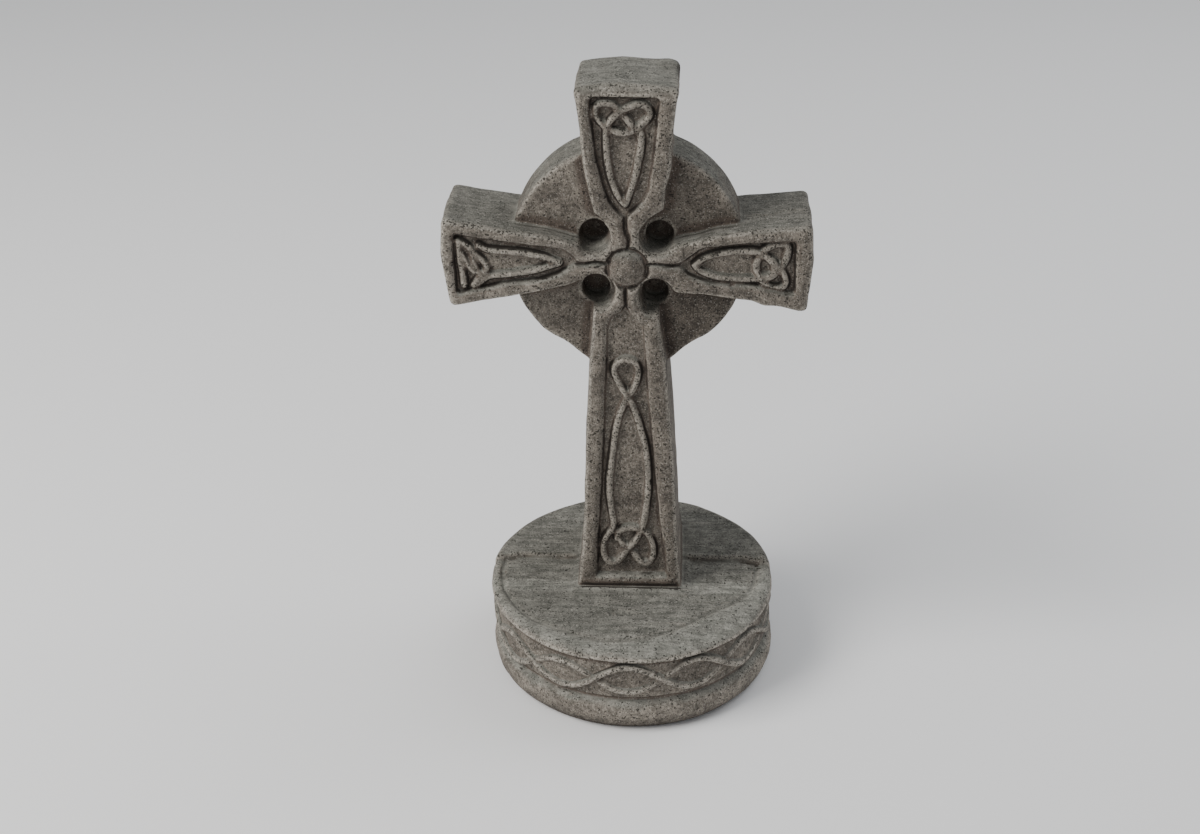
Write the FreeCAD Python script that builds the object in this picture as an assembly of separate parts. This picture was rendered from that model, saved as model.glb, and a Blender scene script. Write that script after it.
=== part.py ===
# Ringed cross memorial: one cast solid, a cross with a disc behind its arms on a round moulded plinth.
# Millimetres, +Z up, the carved front faces -Y, the underside is centred on the origin.
import os
import math
import FreeCAD
import Part

# ---- plinth sizes
plinth_radius = 70.0          # upper bead, the widest ring
plinth_height = 45.3          # plain front half of the top
step_rise = 1.9               # the rear half of the top stands this much higher
step_round = 1.2
upper_bead = 2.6              # radius of the upper bead
bead_proud = 0.9              # the upper bead stands this much above the top
lower_bead = 9.5              # radius of the lower bead
lower_bead_lift = 1.2         # the lower bead's underside stops this much above the floor
waist_inset = 2.1             # the drum between the beads stands this much inside both beads
foot_tuck = 4.0               # the underside is this much smaller in radius than the beads
foot_slant = 52.0             # degrees below level at which the lower bead ends
twist_crossings = 13          # crossings of the twist round the drum
twist_rise = 1.5              # a strand stands this far off the drum
twist_swing = 7.3             # half of the height that a strand waves through
twist_depth = 9.0             # each lobe of it is cut this deep, so that it reaches into the drum

# ---- cross sizes
total_height = 299.0
mid_plane = 14.0              # the cross stands this far behind the plinth's middle
front_setback = 28.6          # from the mid plane to the front face, at the foot
batter = 2.4                  # the face leans back this much in every 100 mm of height
disc_centre_height = 216.6
disc_radius = 53.8
disc_thickness = 26.4
disc_round = 1.4
arm_half_span = 83.0
foot_half_width = 25.4
foot_flare_height = 28.0
foot_flare = 2.2
shaft_half_width = 17.6       # under the disc
top_half_width = 22.2
top_waist = 18.8              # top arm, part way down
arm_end_half = 20.9           # half height of a side arm at its end
arm_waist = 15.4              # half height of a side arm, part way in
neck_half = 8.6               # half width of every arm beside the boss
shoulder_half = 16.6          # half width of the top arm where it steps in to the neck
shoulder_rise = 26.0          # from the disc's middle up to that step
shoulder_drop = 24.5          # from the disc's middle down to the same step on the shaft
neck_step = 4.0               # the step slopes back towards the boss by this much
arm_neck_out = 20.5           # a side arm is at its narrowest from the boss out to here
arm_neck_bend = 12.0          # radius of the bend there
soft_bend = 60.0              # radius of the slow curves along the arms and above the foot
end_round = 3.2
hollow_round = 5.0            # round of the hollow between two arms
edge_roll = 2.9               # rounding along the outer edges

# ---- carving sizes
border_width = 7.2            # roll moulding round each panel
panel_depth = 2.8
panel_roll = 1.7              # rounding along the panels' edges
strand_width = 2.8
strand_rise = 1.4             # knotwork above the panel's floor
groove_width = 1.6
groove_depth = 1.5
shaft_tip = 19.5              # each panel comes to a point this far from the boss: the shaft's,
top_tip = 26.5                # the top arm's
arm_tip = 24.5                # and the side arms'
shaft_spread = 33.0           # the shaft's panel has its full width from this far below the boss
top_spread = 40.0             # the top arm's has it from this far above
top_border = 5.0              # the border over the top arm's panel is narrower than the others
tip_round = 2.0               # round of a panel's point
side_bend = 14.0              # bend of its sides
corner_round = 1.5            # round of its outer corners
floor_round = 0.6             # round between its wall and its floor
boss_radius = 6.9
boss_rise = 2.4
hole_radius = 5.6
hole_offset = 14.4            # from the boss, both across and up
hole_depth = 8.0              # below the disc's face

# ---- sizes that follow
disc_low = disc_centre_height - 0.885 * disc_radius
arm_waist_out = 0.76 * disc_radius
shaft_top = disc_centre_height - 0.63 * disc_radius
corner_share = 0.47           # the most of a side that one rounded corner takes
buried = 12.0                 # the shaft runs down into the plinth by this much before they join


def vec(x, y, z):
    return FreeCAD.Vector(x, y, z)


def rounded_wire(corners, y):
    """A closed outline in the plane of y: straight sides with tangent arcs. Each corner is (x, z, radius).
    Where the sides are too short for a radius, the corner gets the largest one that fits."""
    edges = []
    previous = None
    first = None
    count = len(corners)
    for i in range(count):
        before = vec(corners[i - 1][0], y, corners[i - 1][1])
        here = vec(corners[i][0], y, corners[i][1])
        after = vec(corners[(i + 1) % count][0], y, corners[(i + 1) % count][1])
        room = corner_share * min((before - here).Length, (after - here).Length)
        into = (before - here).normalize()
        out = (after - here).normalize()
        half_angle = math.acos(max(-1.0, min(1.0, into.dot(out)))) / 2.0
        reach = min(room, corners[i][2] / math.tan(half_angle))
        radius = reach * math.tan(half_angle)
        start = here + into * reach
        end = here + out * reach
        bisector = (into + out).normalize()
        middle = here + bisector * (radius / math.sin(half_angle) - radius)
        if previous is not None:
            edges.append(Part.LineSegment(previous, start).toShape())
        else:
            first = start
        edges.append(Part.Arc(start, middle, end).toShape())
        previous = end
    edges.append(Part.LineSegment(previous, first).toShape())
    return Part.Wire(edges)


def slab(corners, y_front, y_back):
    face = Part.Face(rounded_wire(corners, y_front))
    return face.extrude(vec(0, y_back - y_front, 0))


def mirrored(right_side):
    """The corners of the right half, followed by the same corners on the left in the other order."""
    return right_side + [(-x, z, r) for x, z, r in reversed(right_side)]


def cross_corners():
    zc = disc_centre_height
    flare_top = plinth_height + foot_flare_height
    slope = (foot_half_width - foot_flare - shaft_half_width) / (disc_low - flare_top)
    shoulder_low = zc - shoulder_drop
    widest = foot_half_width + foot_flare * buried / foot_flare_height
    return mirrored([
        (top_half_width, total_height, end_round),
        (top_waist, zc + 0.78 * disc_radius, soft_bend),
        (shoulder_half, zc + shoulder_rise, end_round),
        (neck_half, zc + shoulder_rise - neck_step, hollow_round),
        (neck_half, zc + neck_half, hollow_round),
        (arm_neck_out, zc + neck_half, arm_neck_bend),
        (arm_waist_out, zc + arm_waist, soft_bend),
        (arm_half_span, zc + arm_end_half, end_round),
        (arm_half_span, zc - arm_end_half, end_round),
        (arm_waist_out, zc - arm_waist, soft_bend),
        (arm_neck_out, zc - neck_half, arm_neck_bend),
        (neck_half, zc - neck_half, hollow_round),
        (neck_half, zc - shoulder_drop + neck_step, hollow_round),
        (shaft_half_width - slope * (shoulder_low - disc_low), shoulder_low, end_round),
        (foot_half_width - foot_flare, flare_top, soft_bend),
        (widest, plinth_height - buried, 0.4),
    ])


def contour_edges(shape, normal_sign):
    """The edges round the front or the back face of the cross, above the buried end."""
    wanted = []
    for face in shape.Faces:
        u0, u1, v0, v1 = face.ParameterRange
        normal = face.normalAt((u0 + u1) / 2.0, (v0 + v1) / 2.0)
        if normal.y * normal_sign > 0.9:
            wanted += [e for e in face.Edges if e.BoundBox.ZMax > plinth_height]
    return wanted


def cross_body():
    """The outline seen from the front, sawn to a thickness that thins upwards, with its edges rounded."""
    height = total_height - plinth_height
    thick_foot = front_setback
    thick_top = front_setback - batter * height / 100.0
    body = slab(cross_corners(), mid_plane - thick_foot - 5.0, mid_plane + thick_foot + 5.0)
    low = plinth_height - buried - 1.0
    extra = batter * (buried + 1.0) / 100.0
    side = arm_half_span + 5.0
    profile = Part.makePolygon([
        vec(-side, mid_plane - thick_foot - extra, low),
        vec(-side, mid_plane + thick_foot + extra, low),
        vec(-side, mid_plane + thick_top, total_height),
        vec(-side, mid_plane + thick_top - 0.2, total_height + 8.0),
        vec(-side, mid_plane - thick_top + 0.2, total_height + 8.0),
        vec(-side, mid_plane - thick_top, total_height),
        vec(-side, mid_plane - thick_foot - extra, low),
    ])
    body = body.common(Part.Face(profile).extrude(vec(2.0 * side, 0, 0)))
    body = body.makeFillet(edge_roll, contour_edges(body, -1))
    return body.makeFillet(edge_roll, contour_edges(body, 1))


def ring_disc():
    disc = Part.makeCylinder(
        disc_radius, disc_thickness,
        vec(0, mid_plane - disc_thickness / 2.0, disc_centre_height), vec(0, 1, 0))
    rims = [e for e in disc.Edges if len(e.Vertexes) == 1 or e.Closed]
    rims = [e for e in rims if abs(e.Length - 2.0 * math.pi * disc_radius) < 0.1]
    disc = disc.makeFillet(disc_round, rims)
    for sx in (-1, 1):
        for sz in (-1, 1):
            hole = Part.makeCylinder(
                hole_radius, hole_depth + 4.0,
                vec(sx * hole_offset, mid_plane - disc_thickness / 2.0 - 4.0,
                    disc_centre_height + sz * hole_offset),
                vec(0, 1, 0))
            disc = disc.cut(hole)
    return disc


def on_face(tool):
    """Carving is drawn on a plane of y = 0 and leant back here onto the face of the cross."""
    lean = math.degrees(math.atan(batter / 100.0))
    tool.rotate(vec(0, 0, plinth_height), vec(1, 0, 0), -lean)
    tool.translate(vec(0, mid_plane - front_setback, 0))
    return tool


def panel_outlines():
    zc = disc_centre_height
    foot_half = foot_half_width - foot_flare - border_width + 0.6
    neck_width = shaft_half_width - border_width - 1.4
    end_half = top_half_width - border_width - 1.6
    waist_half = top_waist - border_width - 1.0
    arm_out = arm_half_span - border_width + 0.6
    arm_half = arm_end_half - border_width
    shaft = [
        (0.0, zc - shaft_tip, tip_round),
        (neck_width, zc - shaft_spread, side_bend),
        (foot_half, plinth_height + border_width, corner_round),
        (-foot_half, plinth_height + border_width, corner_round),
        (-neck_width, zc - shaft_spread, side_bend),
    ]
    top = [
        (0.0, zc + top_tip, tip_round),
        (waist_half, zc + top_spread, side_bend),
        (end_half, total_height - top_border, corner_round),
        (-end_half, total_height - top_border, corner_round),
        (-waist_half, zc + top_spread, side_bend),
    ]
    right = [
        (arm_tip, zc, tip_round),
        (arm_waist_out, zc + arm_waist - border_width, side_bend),
        (arm_out, zc + arm_half, corner_round),
        (arm_out, zc - arm_half, corner_round),
        (arm_waist_out, zc - arm_waist + border_width, side_bend),
    ]
    left = [(-x, z, r) for x, z, r in reversed(right)]
    return [shaft, top, right, left]


def panels():
    """The sunk panels, one to an arm and one down the shaft, each with its upper edge rounded over."""
    tools = []
    for outline in panel_outlines():
        sunk = slab(outline, -4.0, panel_depth)
        floor = [f for f in sunk.Faces if abs(f.BoundBox.YMin - panel_depth) < 0.01]
        edges = floor[0].Edges
        tools.append(on_face(sunk.makeFillet(floor_round, edges)))
    return tools


def grooves():
    """Thin grooves from the boss to the tips of the panels, where the two rolls of an arm meet."""
    tools = []
    up = top_tip + 1.0
    out = arm_tip + 1.5
    down = shaft_tip + 1.5
    over = 1.0 + groove_depth
    half = groove_width / 2.0 * over / groove_depth
    for turn, reach in ((0, up), (90, out), (180, down), (270, out)):
        wedge = Part.Face(Part.makePolygon([
            vec(-half, groove_depth - over, 0),
            vec(half, groove_depth - over, 0),
            vec(0, groove_depth, 0),
            vec(-half, groove_depth - over, 0),
        ])).extrude(vec(0, 0, reach))
        wedge.rotate(vec(0, 0, 0), vec(0, 1, 0), turn)
        wedge.translate(vec(0, 0, disc_centre_height))
        tools.append(on_face(wedge))
    return tools


def boss():
    """A low dome where the four arms meet."""
    ball = (boss_radius ** 2 + boss_rise ** 2) / (2.0 * boss_rise)
    dome = Part.makeSphere(ball, vec(0, ball - boss_rise, disc_centre_height))
    keep = Part.makeCylinder(boss_radius, boss_rise + panel_depth,
                             vec(0, -boss_rise, disc_centre_height), vec(0, 1, 0))
    return on_face(dome.common(keep))


def boss_groove():
    ring = Part.makeTorus(boss_radius + 0.5, 0.9, vec(0, 0, disc_centre_height), vec(0, 1, 0))
    return on_face(ring)


def ring_band(x, z, radius):
    deep = panel_depth + 0.8
    rise = panel_depth - strand_rise
    outer = Part.makeCylinder(radius + strand_width / 2.0, deep - rise, vec(x, rise, z), vec(0, 1, 0))
    inner = Part.makeCylinder(radius - strand_width / 2.0, deep, vec(x, rise - 1.0, z), vec(0, 1, 0))
    return outer.cut(inner)


def arc_band(start, middle, end):
    """A flat strand along the arc through three points of the face."""
    ax, az = start
    bx, bz = middle
    cx, cz = end
    d = 2.0 * (ax * (bz - cz) + bx * (cz - az) + cx * (az - bz))
    a2 = ax * ax + az * az
    b2 = bx * bx + bz * bz
    c2 = cx * cx + cz * cz
    ox = (a2 * (bz - cz) + b2 * (cz - az) + c2 * (az - bz)) / d
    oz = (a2 * (cx - bx) + b2 * (ax - cx) + c2 * (bx - ax)) / d
    radius = math.hypot(ax - ox, az - oz)
    rise = panel_depth - strand_rise

    def scaled(point, offset):
        k = (radius + offset) / radius
        return vec(ox + (point[0] - ox) * k, rise, oz + (point[1] - oz) * k)

    half = strand_width / 2.0
    outer = Part.Arc(scaled(start, half), scaled(middle, half), scaled(end, half)).toShape()
    inner = Part.Arc(scaled(end, -half), scaled(middle, -half), scaled(start, -half)).toShape()
    first = Part.LineSegment(scaled(end, half), scaled(end, -half)).toShape()
    last = Part.LineSegment(scaled(start, -half), scaled(start, half)).toShape()
    wire = Part.Wire([outer, first, inner, last])
    return Part.Face(wire).extrude(vec(0, strand_rise + 0.8, 0))


def knotwork():
    """Flat strands standing on the panels' floors. They cross at one level and are one shape."""
    zc = disc_centre_height
    waist = plinth_height + 21.5
    bands = [
        ring_band(0.0, shaft_top - 19.5, 5.2),
        ring_band(-5.9, waist, 7.4),
        ring_band(5.9, waist, 7.4),
        ring_band(-4.9, zc + 70.0, 5.0),
        ring_band(4.9, zc + 70.0, 5.0),
        arc_band((-7.6, zc + 66.0), (-5.8, zc + 45.0), (0.6, zc + 30.0)),
        arc_band((7.6, zc + 66.0), (5.8, zc + 45.0), (-0.6, zc + 30.0)),
    ]
    for s in (-1, 1):
        bands.append(arc_band((-0.6 * s, shaft_top - 25.0), (8.7 * s, shaft_top - 62.0),
                              (6.6 * s, waist + 6.4)))
        bands.append(ring_band(s * 65.0, zc + 4.6, 5.2))
        bands.append(ring_band(s * 65.0, zc - 4.6, 5.2))
        for t in (-1, 1):
            bands.append(arc_band((s * 28.2, zc - 0.6 * t), (s * 44.0, zc + 4.6 * t),
                                  (s * 61.0, zc + 6.0 * t)))
    joined = bands[0].multiFuse(bands[1:])
    return on_face(joined.removeSplitter())


def plinth():
    """Turned profile: a heavy bead at the foot, a plain drum, a light bead and a flat top."""
    waist = plinth_radius - waist_inset
    low_r = plinth_radius - lower_bead
    low_z = lower_bead + lower_bead_lift
    high_r = plinth_radius - upper_bead
    high_z = plinth_height - upper_bead + bead_proud
    foot = plinth_radius - foot_tuck
    slant = math.radians(foot_slant)
    tuck = vec(low_r + lower_bead * math.cos(slant), 0, low_z - lower_bead * math.sin(slant))
    low_in = math.acos(max(-1.0, min(1.0, (waist - low_r) / lower_bead)))
    low_top = vec(waist, 0, low_z + lower_bead * math.sin(low_in))
    high_in = math.acos(max(-1.0, min(1.0, (waist - high_r) / upper_bead)))
    high_low = vec(waist, 0, high_z - upper_bead * math.sin(high_in))
    lip = math.asin(max(-1.0, min(1.0, (plinth_height - high_z) / upper_bead)))
    lip_r = high_r - upper_bead * math.cos(lip)
    edges = [
        Part.LineSegment(vec(0, 0, 0), vec(foot - 1.0, 0, 0)).toShape(),
        Part.LineSegment(vec(foot - 1.0, 0, 0), tuck).toShape(),
        Part.Arc(tuck, vec(low_r + lower_bead, 0, low_z), low_top).toShape(),
        Part.LineSegment(low_top, high_low).toShape(),
        Part.Arc(high_low, vec(plinth_radius, 0, high_z), vec(lip_r, 0, plinth_height)).toShape(),
        Part.LineSegment(vec(lip_r, 0, plinth_height), vec(0, 0, plinth_height)).toShape(),
        Part.LineSegment(vec(0, 0, plinth_height), vec(0, 0, 0)).toShape(),
    ]
    return Part.Face(Part.Wire(edges)).revolve(vec(0, 0, 0), vec(0, 0, 1), 360.0)


def rear_step():
    """The rear half of the top stands a little higher, up to the mould's parting plane."""
    reach = plinth_radius - 1.6 * upper_bead
    disc = Part.makeCylinder(reach, step_rise + 3.0, vec(0, 0, plinth_height - 3.0))
    half = Part.makeBox(2.0 * plinth_radius, plinth_radius, 20.0,
                        vec(-plinth_radius, mid_plane - 1.5, plinth_height - 10.0))
    raised = disc.common(half)
    top = [f for f in raised.Faces if abs(f.BoundBox.ZMin - (plinth_height + step_rise)) < 0.01]
    return raised.makeFillet(step_round, top[0].Edges)


def twist():
    """Two strands wave round the drum and cross between every two waves.
    Each lobe of a wave is a flat arc, sunk into the drum and trimmed to a skin over it."""
    waist = plinth_radius - waist_inset
    low = 2.0 * lower_bead + lower_bead_lift
    high = plinth_height - 2.0 * upper_bead + bead_proud
    middle = (low + high) / 2.0 - 1.0
    turn = 360.0 / twist_crossings
    reach = waist * math.sin(math.radians(turn / 2.0)) + 0.3
    rise = panel_depth - strand_rise
    lobes = []
    for side in (-1, 1):
        arc = arc_band((-reach, middle), (0.0, middle + side * twist_swing), (reach, middle))
        flat = [f for f in arc.Faces if abs(f.BoundBox.YMax - rise) < 0.01]
        flat = [f for f in flat if f.BoundBox.YLength < 0.01]
        lobe = flat[0].extrude(vec(0, twist_depth, 0))
        lobe.translate(vec(0, -waist - 2.0 * twist_rise - rise, 0))
        for i in range(twist_crossings):
            copy = lobe.copy()
            copy.rotate(vec(0, 0, 0), vec(0, 0, 1), i * turn)
            lobes.append(copy)
    joined = lobes[0].multiFuse(lobes[1:])
    drum = Part.makeCylinder(waist + twist_rise, plinth_height - 4.0, vec(0, 0, 2.0))
    return joined.common(drum)


def round_panels(body):
    """Rounds the rims of the panels over, which leaves a roll between each panel and the outer edge."""
    rims = []
    for face in body.Faces:
        u0, u1, v0, v1 = face.ParameterRange
        if face.normalAt((u0 + u1) / 2.0, (v0 + v1) / 2.0).y > -0.9 or len(face.Wires) < 2:
            continue
        for wire in face.Wires:
            if not wire.isSame(face.OuterWire):
                rims += wire.Edges
    return body.makeFillet(panel_roll, rims)


def memorial():
    cross = round_panels(cross_body().cut(panels())).fuse(ring_disc())
    cross = cross.cut(grooves() + [boss_groove()])
    cross = cross.fuse([boss(), knotwork()])
    base = plinth().fuse(rear_step())
    base = base.fuse(twist())
    return cross.fuse(base)


shape = memorial()
if shape.ShapeType == "Compound" and len(shape.Solids) == 1:
    shape = shape.Solids[0]
print("solids", len(shape.Solids), "valid", shape.isValid(), "faces", len(shape.Faces),
      "volume_cm3", round(shape.Volume / 1000.0, 1))
os.makedirs("parts", exist_ok=True)
shape.exportStep("parts/cross_memorial.step")
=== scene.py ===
import math
import bpy
import numpy as np
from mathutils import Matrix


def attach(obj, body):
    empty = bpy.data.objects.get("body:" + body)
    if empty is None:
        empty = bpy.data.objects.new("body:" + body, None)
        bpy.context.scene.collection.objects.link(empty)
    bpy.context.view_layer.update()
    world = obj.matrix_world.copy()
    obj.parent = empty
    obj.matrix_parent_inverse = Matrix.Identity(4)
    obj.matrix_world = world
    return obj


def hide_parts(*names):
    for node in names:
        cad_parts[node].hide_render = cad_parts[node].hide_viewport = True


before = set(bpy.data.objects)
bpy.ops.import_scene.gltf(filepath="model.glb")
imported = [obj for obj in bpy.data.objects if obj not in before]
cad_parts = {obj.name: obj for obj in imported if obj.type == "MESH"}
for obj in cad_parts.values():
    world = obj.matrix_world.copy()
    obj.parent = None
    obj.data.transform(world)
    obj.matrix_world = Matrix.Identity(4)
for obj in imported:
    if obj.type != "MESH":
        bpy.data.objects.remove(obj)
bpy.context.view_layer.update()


# ==== The plinth's turned form.
# The foot of the casting is a round drum between a heavy bead and a light bead. It is poured in one go with the
# cross, in dense grey concrete, from a rubber mould of a clay original, so every edge is a little soft and uneven.

TOP_FACE = 45.5
DRUM_RADIUS = 67.9
LOWER_BEAD = (62.6, 11.2)  # middle of the heavy bead's section: radius, height
UPPER_BEAD = (66.6, 42.9)  # middle of the light bead's section
TWIST_WAVES = 6.5  # waves in one round, so the strand closes after two
TWIST_SWING = 7.2
TWIST_HALF = 1.85
TWIST_RISE = 1.75
TWIST_LIFT = 0.5  # more where a strand rides over, and less where it runs under
PARTING = 12.3  # where the mould parts across the plinth's top
REAR_STEP = 2.1


def ease(low, high, value):
    """Goes from 0 at low to 1 at high along 3t^2 - 2t^3."""
    t = np.clip((value - low) / (high - low), 0.0, 1.0)
    return t * t * (3.0 - 2.0 * t)


def arc(cx, cz, rx, rz, start, end, count):
    """Points of an ellipse's arc: centre plus (rx cos a, rz sin a), a from start to end in degrees."""
    a = np.radians(np.linspace(start, end, count))
    return np.column_stack([cx + rx * np.cos(a), cz + rz * np.sin(a)])


def outline_distance(points, a, b):
    """Distance of each (a, b) to a closed outline: the least distance to its sides, negative inside."""
    best = np.full(a.shape, 1e9)
    inside = np.zeros(a.shape, bool)
    for (pa, pb), (qa, qb) in zip(points, np.roll(points, -1, axis=0)):
        ea, eb = qa - pa, qb - pb
        wa, wb = a - pa, b - pb
        t = np.clip((wa * ea + wb * eb) / (ea * ea + eb * eb + 1e-12), 0.0, 1.0)
        np.minimum(best, (wa - ea * t) ** 2 + (wb - eb * t) ** 2, out=best)
        if pb != qb:
            inside ^= ((pb > b) != (qb > b)) & (a < ea * (b - pb) / eb + pa)
    return np.sqrt(best) * np.where(inside, -1.0, 1.0)


class Chart:
    """A drawing on a grid of two coordinates, read back between its points by straight interpolation."""

    def __init__(self, low_a, high_a, low_b, high_b, step):
        self.low_a, self.low_b, self.step = low_a, low_b, step
        self.a, self.b = np.meshgrid(np.arange(low_a, high_a + step, step),
                                     np.arange(low_b, high_b + step, step), indexing="ij")

    def read(self, drawing, a, b):
        """Value at (a, b): the four points round it, each weighted by its nearness."""
        fa = np.clip((a - self.low_a) / self.step, 0.0, drawing.shape[0] - 1.001)
        fb = np.clip((b - self.low_b) / self.step, 0.0, drawing.shape[1] - 1.001)
        ia, ib = fa.astype(np.int32), fb.astype(np.int32)
        fa, fb = fa - ia, fb - ib
        flat, wide = drawing.ravel(), drawing.shape[1]
        at = ia * wide + ib
        near = flat[at] * (1.0 - fb) + flat[at + 1] * fb
        far = flat[at + wide] * (1.0 - fb) + flat[at + wide + 1] * fb
        return near * (1.0 - fa) + far * fa


def lattice_noise(x, y, z, seed):
    """Smooth unevenness from -1 to 1: random values at whole points, eased between them in all three directions."""
    values = np.random.default_rng(seed).uniform(-1.0, 1.0, 4096).astype(np.float32)
    ix, iy, iz = np.floor(x).astype(np.int64), np.floor(y).astype(np.int64), np.floor(z).astype(np.int64)
    fx, fy, fz = x - ix, y - iy, z - iz
    fx, fy, fz = (f * f * (3.0 - 2.0 * f) for f in (fx, fy, fz))
    total = 0.0
    for dx in (0, 1):
        for dy in (0, 1):
            for dz in (0, 1):
                key = (ix + dx) * 73856093 ^ (iy + dy) * 19349663 ^ (iz + dz) * 83492791
                weight = (fx if dx else 1.0 - fx) * (fy if dy else 1.0 - fy) * (fz if dz else 1.0 - fz)
                total = total + values[(key >> 3) & 4095] * weight
    return total


def rounded_and(d, e, radius):
    """Where both solids are: the larger distance, with the edge between them rounded to the radius."""
    corner = np.hypot(np.maximum(d + radius, 0.0), np.maximum(e + radius, 0.0))
    return np.minimum(np.maximum(d, e), -radius) + corner


def soft_join(d, e, blend):
    """Where either solid is: the smaller distance, with a fillet as wide as blend between them."""
    h = np.clip(0.5 + 0.5 * (e - d) / blend, 0.0, 1.0)
    return e + (d - e) * h - blend * h * (1.0 - h)


turned_chart = Chart(0.0, 80.0, -8.0, 56.0, 0.25)
turned_profile = np.vstack([
    [(0.0, 0.0), (65.2, 0.0)],
    arc(*LOWER_BEAD, 7.7, 11.0, -66.0, 0.0, 12),
    arc(*LOWER_BEAD, 7.7, 7.4, 6.0, 60.0, 9),
    [(66.7, 18.6), (DRUM_RADIUS - 0.4, 19.6), (DRUM_RADIUS, 24.0), (DRUM_RADIUS, 38.0), (67.2, 40.4)],
    arc(*UPPER_BEAD, 3.6, 2.7, -64.0, 90.0, 12),
    [(62.0, TOP_FACE + 0.1), (0.0, TOP_FACE)],
])
turned_field = outline_distance(turned_profile, turned_chart.a, turned_chart.b)


def near_line(points, a, b):
    """Distance of each (a, b) to an open line, and how far along it the nearest place is, from 0 to 1."""
    best = np.full(a.shape, 1e9)
    along = np.zeros(a.shape)
    for i, ((pa, pb), (qa, qb)) in enumerate(zip(points[:-1], points[1:])):
        ea, eb = qa - pa, qb - pb
        t = np.clip(((a - pa) * ea + (b - pb) * eb) / (ea * ea + eb * eb + 1e-12), 0.0, 1.0)
        d = (a - pa - ea * t) ** 2 + (b - pb - eb * t) ** 2
        along = np.where(d < best, (i + t) / (len(points) - 1), along)
        best = np.minimum(best, d)
    return np.sqrt(best), along


# The crease on the plinth's top, as (angle from the front in degrees, radius). It lies furthest in at the front right.
crease = np.array([(-180.0, 65.0), (-110.0, 65.0), (-75.0, 64.4), (-54.0, 63.0), (-35.0, 60.0), (-6.0, 58.6),
                   (10.0, 55.6), (28.0, 52.4), (44.0, 51.0), (54.0, 53.3), (65.0, 56.8), (75.0, 60.6),
                   (90.0, 62.0), (110.0, 65.0), (180.0, 65.0)])


def past_crease(x, y):
    """How far outside the crease each place is: its radius less the crease's, which is read off by the angle from
    the front. The crease parts the streaky middle of the plinth's top from the smooth rounded rim."""
    return np.hypot(x, y) - np.interp(np.degrees(np.arctan2(x, -y)), crease[:, 0], crease[:, 1])


def plinth_top_relief(chart):
    """Height of the plinth's top over its plain level: the rear half steps up where the mould parts, the rim bulges
    and falls away past the crease, streaks run across, and a short row of worn strokes stands for the marks there."""
    x, y = chart.a, chart.b
    wobble = 0.5 * lattice_noise(x / 7.0, y / 7.0, 0.0 * x + 4.0, 3)
    behind = y - (PARTING - 3.6 * ease(54.0, 68.0, np.abs(x))) + wobble
    height = REAR_STEP * ease(-0.9, 1.3, behind)
    height -= 0.8 * np.exp(-((behind + 1.1) / 0.6) ** 2) * ease(26.0, 29.0, np.abs(x))
    past = past_crease(x, y)
    height -= 1.1 * np.exp(-((past + 0.6 * wobble) / 0.85) ** 2) * ease(PARTING, 4.0, y)
    height += 0.8 * ease(0.0, 4.0, past) - 2.2 * np.clip(past / 14.0, 0.0, 1.0) ** 2
    height += 0.25 * lattice_noise(x / 26.0, y / 1.9, 0.0 * x + 1.0, 5) * ease(2.0, -1.0, past)
    height += 0.14 * lattice_noise(x / 11.0, y / 1.1, 0.0 * x + 2.0, 6) * ease(2.0, -1.0, past)
    height += 0.7 * ease(2.0, 0.0, np.abs(x) - 27.6) * ease(-25.0, -21.0, y) * ease(14.0, 10.0, y)
    strokes = [((-9.6, -34.2), (-8.6, -37.2)), ((-8.2, -34.0), (-6.6, -34.6)), ((-5.4, -34.2), (-5.6, -37.0)),
               ((-4.4, -35.8), (-2.6, -36.4)), ((-1.6, -34.4), (-0.4, -37.0)), ((1.0, -34.0), (0.6, -36.8)),
               ((2.2, -34.6), (3.4, -36.4))]
    for stroke in strokes:
        d, _ = near_line(stroke, x, y)
        height -= 1.0 * np.exp(-(d / 0.5) ** 2)
    pocks = [(55.5, 10.4, 1.2), (59.0, 9.6, 1.4), (62.5, 8.8, 1.5), (64.8, 6.6, 1.0), (30.5, 12.0, 1.0)]
    for px, py, size in pocks:
        height -= 0.9 * np.exp(-(((x - px) / size) ** 2 + ((y - py) / (0.7 * size)) ** 2))
    return height


top_chart = Chart(-76.0, 76.0, -76.0, 76.0, 0.5)
top_relief = plinth_top_relief(top_chart)


# The height that the twist waves about, as (angle from the front in radians, height): it dips a little on the left.
twist_middle = np.array([(-3.14, 28.6), (-0.96, 27.3), (-0.49, 28.5), (0.0, 30.0), (0.49, 30.0), (0.96, 29.5),
                         (3.14, 28.6)])


def twist_height(across, z):
    """How far the twist stands off the drum. One strand waves twice round it as a cosine of six and a half waves a
    round, up where its other round is down; its section is a half round, and where the two cross one rides over.
    At the front a small nodule sits under the crossing. The angle across is in radians from the front."""
    height = np.zeros_like(z)
    middle = np.interp(across, twist_middle[:, 0], twist_middle[:, 1])
    for side in (-1.0, 1.0):
        swing = TWIST_SWING * (1.0 + 0.05 * np.sin(4.0 * across + side))
        wave = middle + side * swing * np.cos(TWIST_WAVES * across)
        slope = side * swing * -TWIST_WAVES * np.sin(TWIST_WAVES * across) / DRUM_RADIUS
        off = np.abs(z - wave) / np.sqrt(1.0 + slope * slope)
        falling = side * np.sin(TWIST_WAVES * across)
        lift = TWIST_LIFT * np.where((across > -0.483) & (across < 0.0), -falling, falling)
        strand = (TWIST_RISE + lift) * np.sqrt(np.clip(1.0 - (off / TWIST_HALF) ** 2, 0.0, 1.0))
        height = np.maximum(height, strand)
    nodule = 1.1 * np.exp(-(((across + 0.009) * DRUM_RADIUS / 3.0) ** 4 + ((z - 23.3) / 1.5) ** 4))
    return np.maximum(height, nodule)


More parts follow.
